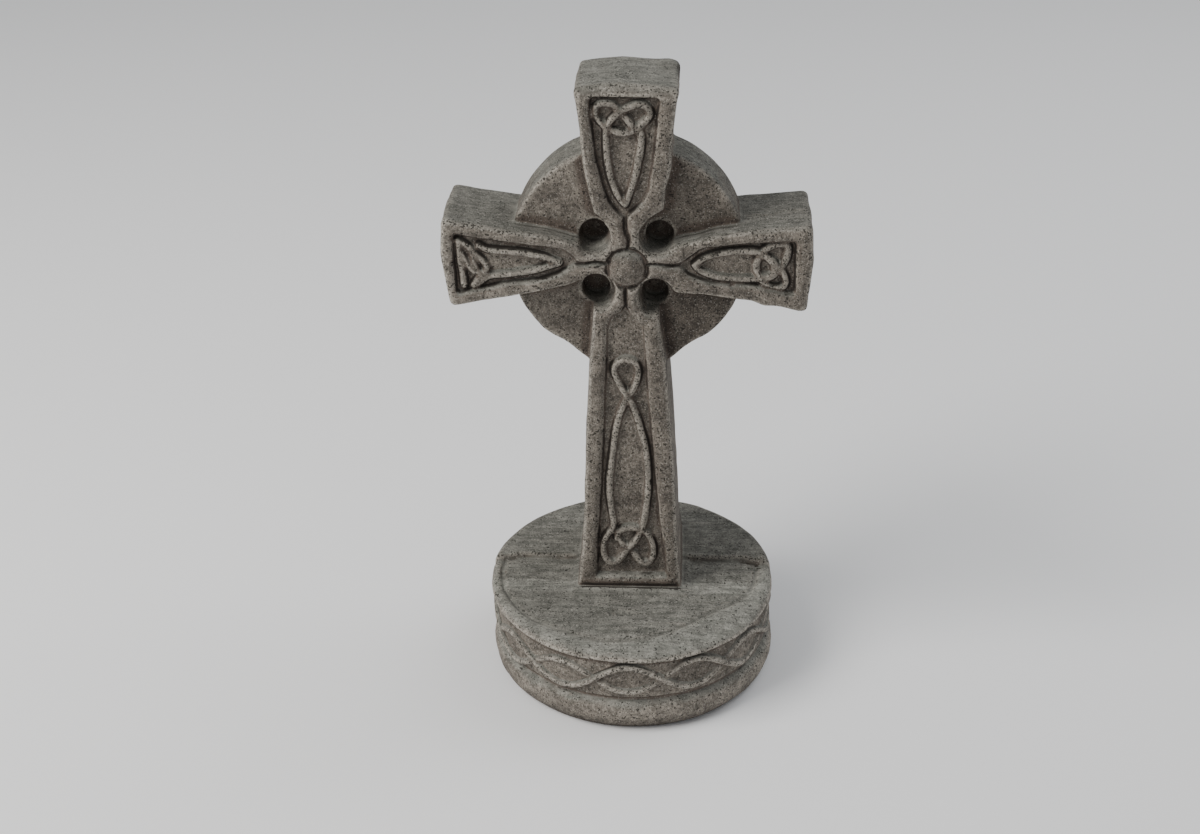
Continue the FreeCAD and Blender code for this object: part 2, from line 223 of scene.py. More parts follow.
def plinth_field(x, y, z):
    """Distance to the plinth: its turned profile, read at a height moved by the top's relief, less the twist. Its
    axis stands 1 mm to the right at the floor and comes back to the middle at the top."""
    x = x - 1.0 * (1.0 - z / TOP_FACE)
    r = np.hypot(x, y)
    lifted = z - top_chart.read(top_relief, x, y) * ease(38.0, 43.0, z)
    d = turned_chart.read(turned_field, r, lifted)
    on_drum = (np.abs(r - DRUM_RADIUS) < 4.0) & (z > 14.0) & (z < 43.0)
    raised = twist_height(np.arctan2(x[on_drum], -y[on_drum]), z[on_drum])
    d[on_drum] -= raised * ease(16.0, 18.0, z[on_drum]) * ease(42.0, 40.3, z[on_drum])
    return d


# ==== The cross and its disc.
# The shaft and three flared arms are part of the same pour. Each arm is edged with a half-round roll that turns
# round the hollows beside the boss, and its sunk panel holds knotwork whose strands pass over and under.

FACE_AT_FOOT = -14.6  # the front face's place at the plinth's top
LEAN_BACK = 0.0244  # how far it leans back for each millimetre up
MIDDLE = 14.0  # the disc's middle, from front to back
HALF_THICK = 28.6
TOP_OF_CROSS = 299.6
C = 216.6  # the height of the disc's middle
DISC_RADIUS = 54.0
DISC_HALF = 13.4
BOSS_RADIUS = 8.5
BOSS_GUTTER = 2.5
PANEL_FLOOR = 3.7
ROLL_DROP = 2.4
STRAND_HALF = 1.95
STRAND_RISE = 2.7
HOLLOW_FLOOR = 10.0
CORNER_LUMP = (17.0, 27.0, 298.4)
CORNER_CHIP = (23.4, -1.0, 290.6)


def sway(z):
    """How far the cross stands to the right of the plinth's middle at each height; below nought is to the left."""
    return np.interp(z, [45.0, 170.0, 216.0, 298.0], [-0.2, -1.15, -1.6, -1.0])


def rounded(corners):
    """A closed outline of straight sides whose corners (x, z, radius) are rounded, as points. Each corner is a
    parabola that leaves its two sides where an arc of the radius would, or nearly halfway along a short side."""
    points = []
    count = len(corners)
    for i, (x, z, radius) in enumerate(corners):
        here = np.array([x, z])
        before, after = np.array(corners[i - 1][:2]), np.array(corners[(i + 1) % count][:2])
        room = 0.47 * min(np.linalg.norm(before - here), np.linalg.norm(after - here))
        into, out = before - here, after - here
        into, out = into / np.linalg.norm(into), out / np.linalg.norm(out)
        half = math.acos(float(np.clip(into @ out, -1.0, 1.0))) / 2.0
        reach = min(room, radius / math.tan(half))
        t = np.linspace(0.0, 1.0, 7)[:, None]
        start, end = here + into * reach, here + out * reach
        points.append((1 - t) ** 2 * start + 2 * t * (1 - t) * here + t ** 2 * end)
    return np.vstack(points)


cross_outline = rounded([
    (10.0, TOP_OF_CROSS, 8.0), (22.8, 298.2, 2.6), (21.6, 292.0, 6.0), (20.2, 279.0, 20.0), (19.6, 262.5, 9.0),
    (17.2, 253.0, 9.0), (16.7, 243.4, 1.8), (12.0, 240.0, 2.2), (9.2, 238.0, 2.0), (8.8, 226.8, 3.0),
    (19.5, 225.8, 4.0), (25.6, 228.0, 12.0), (33.6, 229.8, 20.0), (41.0, 232.3, 40.0), (56.0, 234.3, 40.0),
    (83.0, 236.6, 3.4), (84.2, 218.0, 40.0), (81.8, 195.4, 3.4), (78.2, 194.9, 4.0), (70.0, 197.0, 12.0),
    (62.0, 197.8, 6.0), (57.0, 200.0, 8.0), (46.0, 201.2, 30.0), (33.6, 202.9, 30.0), (22.0, 203.0, 4.0),
    (17.6, 207.4, 2.5), (10.5, 208.0, 2.5), (7.0, 203.0, 3.0), (6.8, 196.6, 3.0), (9.0, 193.5, 2.0),
    (14.8, 193.0, 1.6), (15.3, 184.0, 30.0), (17.6, 169.0, 30.0), (20.9, 126.0, 60.0), (22.4, 96.0, 60.0),
    (23.6, 62.0, 30.0), (25.4, 46.0, 3.0), (25.9, 30.0, 1.0), (-26.2, 30.0, 1.0), (-26.0, 46.0, 3.0),
    (-23.8, 62.0, 20.0), (-21.9, 90.0, 60.0), (-20.3, 128.0, 60.0), (-17.8, 169.0, 60.0), (-16.4, 182.0, 30.0),
    (-15.3, 197.2, 1.8), (-12.0, 197.6, 2.0), (-7.6, 201.0, 4.0), (-7.4, 207.5, 3.0), (-12.0, 210.6, 3.0),
    (-19.4, 209.2, 3.0), (-26.4, 206.6, 20.0), (-40.0, 203.8, 40.0), (-53.0, 201.0, 12.0), (-66.0, 199.0, 20.0),
    (-81.0, 195.6, 3.4), (-84.2, 220.0, 40.0), (-83.4, 239.0, 3.2), (-72.0, 236.6, 20.0), (-54.0, 233.9, 30.0),
    (-38.0, 231.8, 40.0), (-30.4, 230.0, 20.0), (-22.6, 227.4, 8.0), (-17.0, 225.6, 3.0), (-10.6, 226.0, 3.0),
    (-9.0, 231.0, 4.0), (-10.6, 238.0, 3.0), (-14.6, 241.4, 2.0), (-16.6, 249.0, 20.0), (-19.4, 264.0, 30.0),
    (-20.8, 279.0, 30.0), (-23.4, 298.6, 3.0), (-12.0, 300.0, 8.0), (-3.0, 300.6, 10.0),
])
panel_outlines = [
    rounded([(-0.8, 197.6, 1.0), (0.8, 194.0, 4.0), (4.4, 189.2, 4.0), (7.3, 187.4, 2.5), (8.1, 172.0, 20.0),
             (9.4, 150.0, 60.0), (12.2, 110.0, 60.0), (14.8, 80.0, 60.0), (17.6, 53.2, 1.0), (-16.1, 52.8, 1.0),
             (-13.9, 90.0, 60.0), (-11.6, 130.0, 60.0), (-9.8, 168.0, 60.0), (-9.1, 186.0, 4.0),
             (-7.0, 191.6, 4.0), (-2.4, 194.0, 3.0)]),
    rounded([(-0.8, 239.4, 1.2), (1.2, 241.8, 3.0), (6.4, 246.4, 5.0), (9.4, 252.6, 9.0), (11.0, 263.0, 20.0),
             (12.6, 280.0, 20.0), (13.8, 294.2, 1.8), (-16.0, 294.4, 1.8), (-15.0, 282.0, 20.0),
             (-13.4, 268.0, 20.0), (-10.6, 256.0, 14.0), (-7.6, 247.6, 8.0), (-3.2, 242.0, 3.0)]),
    rounded([(24.0, C + 0.6, 1.2), (29.0, C + 4.4, 5.0), (34.0, C + 8.6, 8.0), (44.0, C + 9.6, 20.0),
             (56.0, C + 11.4, 20.0), (75.6, C + 12.0, 1.8), (75.6, C - 12.6, 1.8), (58.0, C - 8.4, 20.0),
             (38.0, C - 7.4, 20.0), (29.0, C - 4.0, 6.0)]),
    rounded([(-22.6, C + 1.6, 1.2), (-31.0, C - 3.6, 6.0), (-38.0, C - 6.4, 20.0), (-56.0, C - 8.6, 20.0),
             (-77.4, C - 13.8, 1.8), (-77.8, C + 14.4, 1.8), (-58.0, C + 11.0, 20.0), (-38.0, C + 9.0, 20.0),
             (-28.5, C + 8.0, 6.0), (-24.6, C + 4.4, 4.0)]),
]

# The hollows beside the boss: middle and radius at the front face, then at the disc's face, one row each.
hollows = np.array([
    (-14.6, 13.3, 7.3, -14.8, 11.8, 6.9),
    (13.6, 13.7, 7.9, 14.7, 11.6, 6.7),
    (-13.5, -12.8, 8.1, -14.4, -14.8, 6.6),
    (13.1, -14.4, 7.7, 12.6, -16.4, 6.3),
])


def smooth_through(points, steps=7):
    """A curve through the points: between two of them it is the cubic whose slopes join the points on each side."""
    p = np.asarray(points, float)
    p = np.vstack([2 * p[0] - p[1], p, 2 * p[-1] - p[-2]])
    t = np.linspace(0.0, 1.0, steps, endpoint=False)[:, None]
    a, b, c, d = p[:-3, None], p[1:-2, None], p[2:-1, None], p[3:, None]
    curve = 0.5 * (2 * b + (c - a) * t + (2 * a - 5 * b + 4 * c - d) * t ** 2 + (3 * b - a - 3 * c + d) * t ** 3)
    return np.vstack([curve.reshape(-1, p.shape[1]), p[-2]])


# Each strand is (x, height, lift): over the next strand where lift is positive, under it where it is negative.
shaft_knot = [
    [(-0.2, 150.5, .4), (-3.8, 156.7, 0), (-6.1, 162.2, 0), (-6.0, 166.2, 0), (-3.2, 169.0, 0), (-0.1, 169.6, 0),
     (3.4, 168.0, 0), (4.9, 164.4, 0), (4.3, 159.4, 0), (2.3, 154.4, 0), (-0.1, 150.5, -.3), (-2.2, 146.1, -.1),
     (-4.2, 140.6, 0), (-6.0, 132.8, 0), (-7.1, 125.0, 0), (-8.3, 115.0, 0), (-9.3, 106.1, 0), (-9.4, 97.2, 0),
     (-8.6, 88.3, 0), (-7.9, 81.7, .1), (-8.6, 77.2, .3)],
    [(-0.2, 150.5, .4), (2.2, 145.6, .1), (4.4, 139.4, 0), (6.0, 132.8, 0), (7.9, 125.0, 0), (8.9, 116.1, 0),
     (9.2, 107.2, 0), (9.0, 99.4, 0), (8.2, 91.7, 0), (7.2, 83.9, .1), (5.8, 78.3, .3)],
    [(-8.6, 78.2, .2), (-11.5, 73.9, 0), (-13.1, 68.9, 0), (-12.6, 63.3, 0), (-10.0, 59.8, 0), (-7.0, 59.3, 0),
     (-4.2, 62.2, 0), (-1.4, 66.7, .5), (2.0, 71.1, .4), (4.4, 75.0, .3), (5.2, 77.8, .2)],
    [(-6.2, 72.6, -.2), (-5.6, 76.4, 0), (-2.0, 78.7, 0), (2.4, 79.0, 0), (6.9, 77.4, .2), (10.1, 73.3, 0),
     (11.5, 68.3, 0), (11.3, 63.3, 0), (9.3, 59.6, 0), (6.5, 59.2, 0), (4.3, 61.3, 0), (2.0, 64.6, -.1),
     (-0.6, 67.4, -.7), (-3.2, 69.6, -.3), (-6.0, 73.4, -.2)],
]
top_knot = [
    [(-0.8, 245.8, .2), (-2.0, 247.3, 0), (-4.0, 250.2, 0), (-5.9, 254.6, 0), (-7.4, 259.6, 0), (-8.4, 264.6, 0),
     (-9.0, 270.4, 0), (-9.1, 276.0, 0), (-9.0, 280.6, .3), (-7.4, 284.0, .4), (-5.2, 286.3, .4),
     (-2.4, 288.6, .4), (0.2, 290.0, .2), (4.2, 291.4, 0), (8.2, 290.6, 0), (10.0, 288.0, 0), (9.0, 285.2, 0),
     (6.6, 282.8, 0), (3.8, 280.4, .2), (1.0, 279.4, .3), (-2.0, 278.9, .3), (-5.0, 279.2, .2), (-8.0, 280.4, 0)],
    [(-0.8, 245.8, .2), (0.0, 247.5, 0), (0.9, 249.8, 0), (2.1, 253.2, 0), (3.2, 257.2, 0), (4.2, 261.2, 0),
     (5.1, 266.0, 0), (6.0, 271.0, 0), (6.3, 276.0, 0), (5.6, 279.6, -.2)],
    [(-9.2, 281.2, .1), (-11.8, 283.6, 0), (-13.7, 286.6, 0), (-13.5, 290.0, 0), (-10.9, 291.8, 0),
     (-7.0, 291.5, 0), (-4.4, 289.6, -.4), (-2.6, 287.2, -.5), (-0.2, 285.0, 0), (1.7, 282.4, .3), (2.4, 280.2, .3)],
]
right_knot = [
    [(30.8, 216.9, .2), (34.0, 219.8, 0), (39.2, 222.0, 0), (45.8, 223.4, 0), (53.0, 224.0, 0), (58.6, 223.9, .3),
     (62.3, 221.9, .3), (65.9, 219.1, .3), (69.5, 215.7, .2), (71.8, 211.0, 0), (71.4, 207.5, 0), (68.0, 206.2, 0),
     (63.7, 207.5, 0), (60.2, 211.2, .3), (58.5, 216.0, 0), (59.6, 221.0, -.3), (62.8, 225.4, 0),
     (67.8, 227.6, 0), (71.8, 227.0, 0), (72.2, 223.4, 0), (71.0, 219.1, 0), (69.2, 215.9, -.3),
     (66.0, 212.4, 0), (62.6, 210.8, -.1)],
    [(30.8, 216.9, .2), (33.2, 214.6, 0), (37.0, 212.6, 0), (42.0, 211.2, 0), (50.0, 210.6, 0), (57.0, 210.8, 0),
     (61.0, 210.9, -.4)],
    [(60.4, 212.0, 0), (63.0, 211.8, 0), (66.4, 214.0, 0), (66.2, 218.0, -.2), (63.0, 221.2, -.2)],
]
left_knot = [
    [(-30.4, 217.6, .2), (-37.0, 220.4, 0), (-46.0, 222.3, 0), (-56.4, 223.2, 0), (-62.6, 223.8, 0),
     (-66.4, 225.6, 0)],
    [(-30.4, 217.6, .2), (-38.2, 215.0, 0), (-48.0, 212.9, 0), (-56.0, 211.6, 0), (-63.0, 210.6, 0),
     (-68.2, 207.0, 0)],
    [(-76.0, 228.0, 0), (-71.6, 225.4, .1), (-67.4, 221.0, .3), (-64.0, 217.0, .2), (-63.8, 213.4, 0),
     (-67.0, 210.0, .2), (-69.4, 206.6, 0)],
    [(-75.6, 227.0, 0), (-75.2, 219.3, 0), (-74.4, 212.9, 0), (-74.0, 206.6, 0)],
    [(-74.6, 222.0, .2), (-71.8, 216.8, .3), (-68.8, 213.4, .2), (-65.0, 212.6, -.2)],
    [(-72.6, 226.0, -.2), (-69.8, 221.8, -.3), (-68.8, 217.6, 0), (-67.8, 214.2, 0)],
]

# The outline with the four hollows cut out of it, so that the roll runs round them as it runs along the arms.
front_chart = Chart(-92.0, 92.0, 28.0, 308.0, 0.4)
outer = outline_distance(cross_outline, front_chart.a, front_chart.b)
for hx, hz, size in hollows[:, :3]:
    outer = rounded_and(outer, size - np.hypot(front_chart.a - hx, front_chart.b - C - hz), 0.5)


def panel_distance(x, z):
    """Distance to the nearest sunk panel, and to the nearest groove that joins a panel's tip to the boss: the least
    over the panels' outlines, and the least over four smooth lines less half a groove's width."""
    panel = np.full(x.shape, 1e9)
    for outline in panel_outlines:
        np.minimum(panel, outline_distance(outline, x, z), out=panel)
    groove = np.full(x.shape, 1e9)
    for line in (((0.4, C + 7.0), (0.9, C + 13.0), (-0.5, C + 18.0), (-0.6, C + 26.0)),
                 ((0.3, C - 7.0), (-0.6, C - 13.0), (-0.4, C - 20.0)),
                 ((7.0, C + 0.3), (13.0, C + 1.1), (19.0, C + 0.4), (25.0, C + 0.8)),
                 ((-7.0, C + 1.0), (-14.0, C + 1.9), (-19.0, C + 1.0), (-25.0, C + 1.6))):
        d, _ = near_line(smooth_through(line), x, z)
        np.minimum(groove, d - 0.3, out=groove)
    return panel, groove


def strand_relief(strands, x, z):
    """Height of the knotwork over its panel: strands of one width and a half-round section, the highest taken at
    each place, and each lifted or dipped where it crosses another."""
    relief = np.zeros(x.shape)
    for strand in strands:
        curve = smooth_through(strand)
        reach = STRAND_HALF + 0.6
        rows = np.nonzero((x[:, 0] > curve[:, 0].min() - reach) & (x[:, 0] < curve[:, 0].max() + reach))[0]
        cols = np.nonzero((z[0] > curve[:, 1].min() - reach) & (z[0] < curve[:, 1].max() + reach))[0]
        part = np.ix_(rows, cols)
        d, along = near_line(curve[:, :2], x[part], z[part])
        lift = np.interp(along, np.linspace(0.0, 1.0, len(curve)), curve[:, 2])
        section = np.clip(1.0 - (d / STRAND_HALF) ** 2, 0.0, 1.0) ** 0.5
        relief[part] = np.maximum(relief[part], (STRAND_RISE + lift) * section)
    return relief


def softened(drawing, rounds):
    """Each point becomes the mean of itself, counted twice, and its two neighbours, along both directions."""
    for _ in range(rounds):
        for axis in (0, 1):
            drawing = 0.25 * (np.roll(drawing, 1, axis) + np.roll(drawing, -1, axis)) + 0.5 * drawing
    return drawing


def front_depth(x, z):
    """Depth of the carved front below its plain face. The border from the outline to the panel is a half-round roll
    that falls further on its panel side; in the panels it is the floor less the strands; the boss is a dome."""
    panel, groove = panel_distance(x, z)
    r = np.hypot(x - 0.3, (z - C + 1.0) * 0.98)
    inner = np.clip(np.minimum(panel, groove), 0.0, None)
    edge = np.clip(np.minimum(-outer, z - 46.3), 0.0, None)
    share = edge / (edge + inner + 1e-6)
    near_boss = ease(32.0, 22.0, r)
    deepest = PANEL_FLOOR - 0.4 * ease(-1.2, 1.2, panel - groove)
    power = 2.5 - 0.6 * near_boss
    fall = 1.0 - np.sqrt(np.clip(1.0 - np.abs(2.0 * share - 1.0) ** power, 0.0, 1.0))
    depth = np.where(share < 0.5, ROLL_DROP + 1.9 * near_boss, deepest) * fall
    depth = depth * (0.35 + 0.65 * ease(46.0, 50.0, z))
    floor = PANEL_FLOOR + 0.15 * lattice_noise(x / 6.0, z / 6.0, 0.0 * x, 8)
    floor = floor - strand_relief(shaft_knot + top_knot + right_knot + left_knot, x, z)
    depth = np.where(panel < 0.0, floor, depth)
    gutter = BOSS_GUTTER - 2.0 * ease(8.4, 10.8, r)
    depth = np.where(r < 10.8, np.maximum(depth, gutter), depth)
    dome = 5.0 * np.clip(1.0 - (r / BOSS_RADIUS) ** 2, 0.0, 1.0) ** 0.5
    depth = np.where(r < BOSS_RADIUS, BOSS_GUTTER - dome, depth)
    seams = [[(17.6, 52.5), (17.5, 60.0), (16.6, 74.0)], [(14.6, 80.0), (13.6, 92.0)],
             [(-64.0, 229.2), (-50.0, 226.8), (-36.0, 225.4)]]
    for seam in seams:
        d, _ = near_line(seam, x, z)
        depth = depth + 0.6 * np.exp(-(d / 0.45) ** 2)
    return softened(depth, 1)


# A depth is measured straight back; divided by this steepness it is the distance to a slope.
depth_drawing = front_depth(front_chart.a, front_chart.b)
slope_a, slope_b = np.gradient(depth_drawing, front_chart.step)
steepness = softened(np.sqrt(1.0 + slope_a ** 2 + slope_b ** 2), 1)


def disc_field(x, y, z):
    """Distance to the disc: a round plate across the middle of the cross. Under the arms its radius dips at one
    angle on each side and swells next to the shaft, each as a bell curve of the angle in degrees."""
    dz = z - C
    turn = np.degrees(np.arctan2(dz, x))
    radius = DISC_RADIUS - 1.9 * (np.exp(-((turn + 124.0) / 9.0) ** 2) + np.exp(-((turn + 57.0) / 9.0) ** 2))
    radius = radius + 1.2 * (np.exp(-((turn + 108.0) / 7.0) ** 2) + np.exp(-((turn + 71.0) / 7.0) ** 2))
    return rounded_and(np.hypot(x, dz) - radius, np.abs(y - MIDDLE) - DISC_HALF, 1.7)


def hollow_field(x, y, z):
    """Distance to the four blind hollows, each a cone with a flat floor: its middle and radius slide from one row's
    values at the front face to those at the disc's face, and it narrows a little more behind that."""
    best = np.full(x.shape, 1e9)
    t = np.clip((y + 9.5) / 10.5, 0.0, 1.0)
    for fx, fz, front_size, dx, dz, disc_size in hollows:
        size = front_size + (disc_size - front_size) * t - 0.11 * np.maximum(y - 1.0, 0.0)
        away = np.hypot(x - fx - (dx - fx) * t, z - C - fz - (dz - fz) * t) - size
        np.minimum(best, rounded_and(away, y - HOLLOW_FLOOR, 2.0), out=best)
    return best


def cross_field(x, y, z):
    """Distance to the cross: inside its outline, which draws in a little towards the front and the back, behind its
    carved front and in front of its plain back. A crack runs along the top of the right arm."""
    side = front_chart.read(outer, x, z) + 0.012 * np.abs(y - MIDDLE) - 0.2
    crack = np.exp(-((y - 7.0 - 0.12 * (x - 50.0) - 0.8 * np.sin(x / 2.7)) / 0.6) ** 2) * (z > C)
    side = side + 1.0 * crack * ease(48.0, 52.0, x) * ease(82.0, 78.0, x)
    rise = LEAN_BACK * (z - 45.6)
    front = FACE_AT_FOOT + rise + front_chart.read(depth_drawing, x, z) - y
    front = front / front_chart.read(steepness, x, z)
    top_front = (z - TOP_OF_CROSS) * 0.62 + (FACE_AT_FOOT + rise - y) * 0.78 + 2.6
    front = rounded_and(front, top_front, 2.0)
    back = y - (MIDDLE + HALF_THICK - rise)
    return rounded_and(rounded_and(side, front, 0.9), back, 3.2)


def casting_field(x, y, z):
    """Distance to the whole casting, in millimetres: cross, disc and plinth joined with small fillets, less the
    hollows, with a lump and a chip at the top arm's right corner and a rough sill at the foot of the shaft."""
    u = x - sway(z)
    upper = soft_join(cross_field(u, y, z), disc_field(u, y, z), 1.6)
    upper = rounded_and(upper, -hollow_field(u, y, z), 0.8)
    sill = np.hypot(y - FACE_AT_FOOT + 1.5, z - 45.4) - 1.5 + 0.03 * np.maximum(np.abs(x - 1.0) - 25.0, 0.0) ** 2
    lx, ly, lz = CORNER_LUMP
    lump = (np.sqrt(((u - lx) / 2.4) ** 2 + ((y - ly) / 3.5) ** 2 + (z - lz) ** 2) - 2.2) * 0.6
    cx, cy, cz = CORNER_CHIP
    chip = np.sqrt((u - cx) ** 2 + ((y - cy) / 2.0) ** 2 + ((z - cz) / 0.8) ** 2) - 2.2
    upper = rounded_and(soft_join(upper, lump, 1.2), -chip, 0.6)
    return soft_join(soft_join(upper, plinth_field(x, y, z), 1.6), sill, 0.8)


# ==== The casting's skin.
# The whole casting is one closed skin, laid where the distance above is nought, then roughened as set concrete is:
# broad waves from the mould, fine grain, and pits where air was trapped against the rubber.

CELL = 0.62  # the side of one small cell
BLOCK = 8  # cells along a block; blocks far from the surface are passed over
MOST_TRIANGLES = 194000.0
PIT_GRID = 6.0
PIT_LEVEL = 0.62  # a grid cell whose random number is above this has a pit


def in_parts(field, points, size=400000):
    """The field at many points, worked out a part at a time to keep the arrays small."""
    out = np.empty(len(points), np.float32)
    for at in range(0, len(points), size):
        p = points[at:at + size]
        out[at:at + size] = field(p[:, 0].copy(), p[:, 1].copy(), p[:, 2].copy())
    return out


def skin(field, low, high):
    """Corners and four-sided faces of the surface where the field is nought. Space is cut into small cells. A cell
    whose corners lie on both sides gets one point, the mean of where its edges cross. Each crossed edge gets a
    face through the points of the four cells round it."""
    span = CELL * BLOCK
    counts = np.ceil((high - low) / span).astype(int)
    blocks = np.stack(np.meshgrid(*[np.arange(n) for n in counts], indexing="ij"), -1).reshape(-1, 3)
    middles = low + (blocks + 0.5) * span
    blocks = blocks[np.abs(in_parts(field, middles)) < 1.25 * span]
    local = np.stack(np.meshgrid(*[np.arange(BLOCK + 1)] * 3, indexing="ij"), -1).reshape(-1, 3)
    side = BLOCK + 1
    values = np.empty((len(blocks), side ** 3), np.float32)
    for at in range(0, len(blocks), 500):
        corner = blocks[at:at + 500, None] * BLOCK + local[None]
        values[at:at + 500] = in_parts(field, (low + corner * CELL).reshape(-1, 3)).reshape(-1, side ** 3)
    values = values.reshape(-1, side, side, side)
    inside = values < 0.0
    offsets = [(i, j, k) for i in (0, 1) for j in (0, 1) for k in (0, 1)]
    count = sum(inside[:, i:i + BLOCK, j:j + BLOCK, k:k + BLOCK].astype(np.int8) for i, j, k in offsets)
    b, i, j, k = np.nonzero((count > 0) & (count < 8))
    cells = blocks[b] * BLOCK + np.stack([i, j, k], -1)
    at_corner = np.stack([values[b, i + a, j + c, k + e] for a, c, e in offsets], -1)
    total, crossings = np.zeros((len(cells), 3)), np.zeros((len(cells), 1))
    for m, first in enumerate(offsets):
        for n, second in enumerate(offsets):
            if n > m and sum(abs(p - q) for p, q in zip(first, second)) == 1:
                va, vb = at_corner[:, m], at_corner[:, n]
                crossed = (va < 0.0) != (vb < 0.0)
                t = np.where(crossed, va / np.where(crossed, va - vb, 1.0), 0.0)[:, None]
                place = np.array(first) * (1.0 - t) + np.array(second) * t
                total += np.where(crossed[:, None], place, 0.0)
                crossings += crossed[:, None]
    points = low + (cells + total / crossings) * CELL
    whole = counts * BLOCK + 2
    key = (cells[:, 0] * whole[1] + cells[:, 1]) * whole[2] + cells[:, 2]
    order = np.argsort(key)
    key, points, cells, at_corner = key[order], points[order], cells[order], at_corner[order]
    steps = np.array([whole[1] * whole[2], whole[2], 1])
    faces = []
    for axis, corner in ((0, 4), (1, 2), (2, 1)):
        one, two = steps[(axis + 1) % 3], steps[(axis + 2) % 3]
        low_in = at_corner[:, 0] < 0.0
        crossed = np.nonzero(low_in != (at_corner[:, corner] < 0.0))[0]
        quad = np.stack([key[crossed], key[crossed] - one, key[crossed] - one - two, key[crossed] - two], -1)
        found = np.minimum(np.searchsorted(key, quad), len(key) - 1)
        good = (key[found] == quad).all(1)
        quad = np.where(low_in[crossed][:, None], found, found[:, ::-1])[good]
        faces.append(quad)
    return points, np.vstack(faces)


def slope_of(field, points, reach):
    """The field's value and direction of steepest rise, from its values at the four corners of a tetrahedron."""
    corners = np.array([(1, -1, -1), (-1, -1, 1), (-1, 1, -1), (1, 1, 1)], float)
    values = [in_parts(field, points + reach * c) for c in corners]
    rise = sum(v[:, None] * c for v, c in zip(values, corners)) / (4.0 * reach)
    return sum(values) / 4.0, rise


points, faces = skin(casting_field, np.array([-92.0, -76.0, -4.0]), np.array([92.0, 76.0, 306.0]))
for _ in range(2):
    value, rise = slope_of(casting_field, points, 0.22)
    steep = np.linalg.norm(rise, axis=1, keepdims=True) + 1e-6
    points = points - np.clip(value[:, None] / steep, -0.4, 0.4) * rise / steep
value, rise = slope_of(casting_field, points, 0.35)
outward = rise / (np.linalg.norm(rise, axis=1, keepdims=True) + 1e-9)


def crowding(points, outward, reach):
    """How closed in each place is, from 0 to 1: one less the distance at a point out in front of it, over how far
    out that point is."""
    return np.clip(1.0 - in_parts(casting_field, points + outward * reach) / reach, 0.0, 1.0)


def standing_out(points, reach):
    """How far each place stands out or lies in a groove: the mean distance at the eight corners of a small cube
    round it, over its half diagonal. Ridges and edges are above nought, flats nought, and grooves below."""
    far = reach / math.sqrt(3.0)
    corners = [(i, j, k) for i in (-far, far) for j in (-far, far) for k in (-far, far)]
    return sum(in_parts(casting_field, points + np.array(c)) for c in corners) / (8.0 * reach)


# How closed in each place is, near and further out; the stone darkens closed-in places with painted shade and some
# dirt.
hollow_fine = crowding(points, outward, 0.9) * 0.5 + crowding(points, outward, 1.8) * 0.5
hollow_wide = crowding(points, outward, 5.0) * 0.6 + crowding(points, outward, 11.0) * 0.4
# How far each place stands out; the stone paints ridges pale, partly as rubbed wear and partly as a painted highlight.
ridge = standing_out(points, 2.0)


def wear_and_painted_light(points, outward):
    """How pale or dark each place is painted, from -1 to 1, partly wear and dirt and partly painted light and shade:
    the plinth's rim and lower bead, the twist band, the sill, the top arm's brow, the left arm and its end are made
    paler, as rubbed wear and as painted light where the light falls; the disc's right quarters and the foot's
    underside are darker as painted shade, the disc's left quarters paler as painted light, and the side arms' tops
    darker with dirt."""
    x, y, z = points.T
    low = (z < 47.0).astype(float)
    # The rim and the lower bead are painted paler, partly rubbed wear and partly painted light on their upward faces.
    rim = ease(0.0, 2.5, past_crease(x, y)) * ease(40.5, 42.0, z) * low
    bead = ease(5.0, 10.0, z) * ease(19.0, 15.5, z)
    # The underside that turns in under the heavy bead is darkened as painted shade.
    tuck = ease(6.5, 1.0, z)
    sill = ease(53.0, 51.0, z) * (y < -8.0) * ease(-18.5, -16.5, y) * (z > 44.0)
    brow = ease(293.0, 296.0, z) * (outward[:, 1] < 0.3)
    # The left arm's end, facing the light from the left, is painted paler: painted light.
    end = ease(-74.0, -81.0, x) * (y < -4.0) * (z > 100.0)
    # The disc's quarters get painted light and shade: paler on the left, darker on the right where the arms and shaft
    # shade them.
    on_disc = (np.hypot(x + 1.6, z - C) < 54.0) & (np.abs(y - 0.6) < 1.5) & (outward[:, 1] < -0.6)
    quarter = np.where(x < -1.6, np.where(z > C, 0.3, 0.2), np.where(z > C, -0.2, -0.65))
    # The twist band is painted paler: painted light.
    band = ease(19.0, 21.0, z) * ease(41.0, 39.5, z)
    tops = (outward[:, 2] > 0.8) * (np.abs(x) > 30.0) * (z > 200.0) * np.where(x < 0.0, -0.2, -0.3)
    pale = 0.6 * rim + 0.75 * bead - 0.7 * tuck + 0.6 * sill + 0.05 * brow + 0.5 * end + 0.25 * band
    # The left arm's front is painted paler: painted light from the left.
    left_arm = ease(-24.0, -34.0, x) * ease(-70.0, -60.0, x) * (y < -5.0) * (z > 190.0) * (outward[:, 1] < -0.4)
    return pale + on_disc * quarter + tops + 0.25 * left_arm


